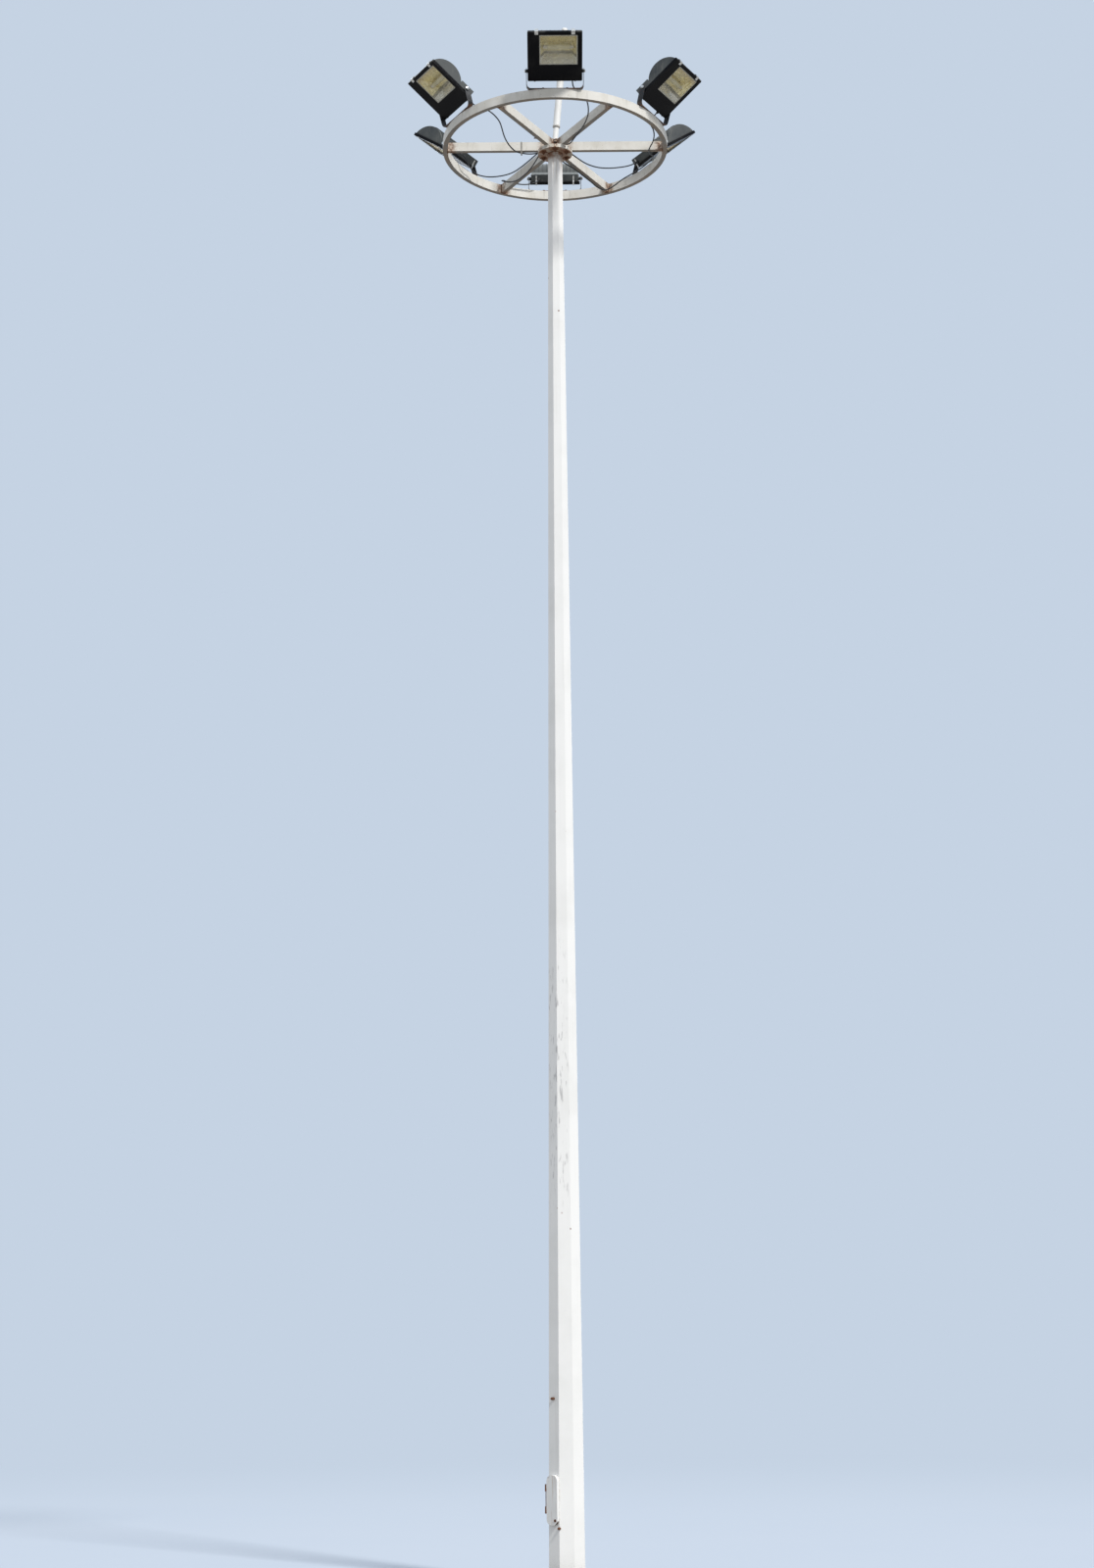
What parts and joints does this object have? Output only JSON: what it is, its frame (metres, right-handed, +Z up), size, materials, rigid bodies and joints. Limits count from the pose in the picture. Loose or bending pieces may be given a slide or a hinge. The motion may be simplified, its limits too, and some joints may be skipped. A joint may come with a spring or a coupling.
{
  "type": "high mast floodlight tower",
  "caption": "Octagonal tapered steel mast with a spoked ring of tilting floodlights at its head, a rod above it and a hinged access door near the foot.",
  "frame": {"origin": "centre of the base plate's underside, on the mast's axis", "axes": "+Z up the mast, -Y out of the flat that carries the access door, +X to the right of a person who faces the door"},
  "size_m": [2.6688, 2.6688, 13.1364],
  "materials": {
    "white_paint": "weathered white paint",
    "rusty_steel": "rusted",
    "yoke_paint": "satin black paint",
    "lamp_housing": "chalked dark grey paint",
    "lamp_frame": "satin black paint",
    "lamp_glass": "clear toughened glass",
    "reflector_sheet": "hammered anodised sheet",
    "lamp_envelope": "clear lamp envelope",
    "cable_sheath": "matt black"
  },
  "bodies": {
    "mast": {"air_terminal": "white_paint", "base_plate": "white_paint", "door_frame": "white_paint", "door_hinges": "rusty_steel", "door_section_sides": "white_paint", "door_section_walls": "white_paint", "earth_stud": "rusty_steel", "hub_plate": "white_paint", "hub_tube": "white_paint", "lamp_1_lead": "cable_sheath", "lamp_2_lead": "cable_sheath", "lamp_3_lead": "cable_sheath", "lamp_4_lead": "cable_sheath", "lamp_5_lead": "cable_sheath", "lamp_6_lead": "cable_sheath", "lamp_yokes": "yoke_paint", "mast_flange": "white_paint", "mast_shaft": "white_paint", "ring": "white_paint", "rod_foot": "white_paint", "side_stud": "rusty_steel", "spoke_strap": "cable_sheath", "spokes": "white_paint"},
    "door": {"access_door": "white_paint", "door_lock": "rusty_steel"},
    "lamp_1": {"lamp_1_front_frame": "lamp_frame", "lamp_1_glass": "lamp_glass", "lamp_1_housing": "lamp_housing", "lamp_1_lamp_tube": "lamp_envelope", "lamp_1_reflector": "reflector_sheet"},
    "lamp_2": {"lamp_2_front_frame": "lamp_frame", "lamp_2_glass": "lamp_glass", "lamp_2_housing": "lamp_housing", "lamp_2_lamp_tube": "lamp_envelope", "lamp_2_reflector": "reflector_sheet"},
    "lamp_3": {"lamp_3_front_frame": "lamp_frame", "lamp_3_glass": "lamp_glass", "lamp_3_housing": "lamp_housing", "lamp_3_lamp_tube": "lamp_envelope", "lamp_3_reflector": "reflector_sheet"},
    "lamp_4": {"lamp_4_front_frame": "lamp_frame", "lamp_4_glass": "lamp_glass", "lamp_4_housing": "lamp_housing", "lamp_4_lamp_tube": "lamp_envelope", "lamp_4_reflector": "reflector_sheet"},
    "lamp_5": {"lamp_5_front_frame": "lamp_frame", "lamp_5_glass": "lamp_glass", "lamp_5_housing": "lamp_housing", "lamp_5_lamp_tube": "lamp_envelope", "lamp_5_reflector": "reflector_sheet"},
    "lamp_6": {"lamp_6_front_frame": "lamp_frame", "lamp_6_glass": "lamp_glass", "lamp_6_housing": "lamp_housing", "lamp_6_lamp_tube": "lamp_envelope", "lamp_6_reflector": "reflector_sheet"}
  },
  "joints": [
    {"name": "door_hinge", "type": "hinge", "parent": "mast", "child": "door", "pos_m": [-0.066, -0.15865, 0.645], "axis": [0, 0, -1], "range_deg": [0, 120]},
    {"name": "lamp_1_tilt", "type": "hinge", "parent": "mast", "child": "lamp_1", "pos_m": [0.25752, 0.9611, 12.19], "axis": [-0.9659, 0.2588, 0], "range_deg": [-55, 35]},
    {"name": "lamp_2_tilt", "type": "hinge", "parent": "mast", "child": "lamp_2", "pos_m": [-0.70357, 0.70357, 12.19], "axis": [-0.7071, -0.7071, 0], "range_deg": [-55, 35]},
    {"name": "lamp_3_tilt", "type": "hinge", "parent": "mast", "child": "lamp_3", "pos_m": [-0.9611, -0.25752, 12.19], "axis": [0.2588, -0.9659, 0], "range_deg": [-55, 35]},
    {"name": "lamp_4_tilt", "type": "hinge", "parent": "mast", "child": "lamp_4", "pos_m": [-0.25752, -0.9611, 12.19], "axis": [0.9659, -0.2588, 0], "range_deg": [-55, 35]},
    {"name": "lamp_5_tilt", "type": "hinge", "parent": "mast", "child": "lamp_5", "pos_m": [0.70357, -0.70357, 12.19], "axis": [0.7071, 0.7071, 0], "range_deg": [-55, 35]},
    {"name": "lamp_6_tilt", "type": "hinge", "parent": "mast", "child": "lamp_6", "pos_m": [0.9611, 0.25752, 12.19], "axis": [-0.2588, 0.9659, 0], "range_deg": [-55, 35]}
  ]
}
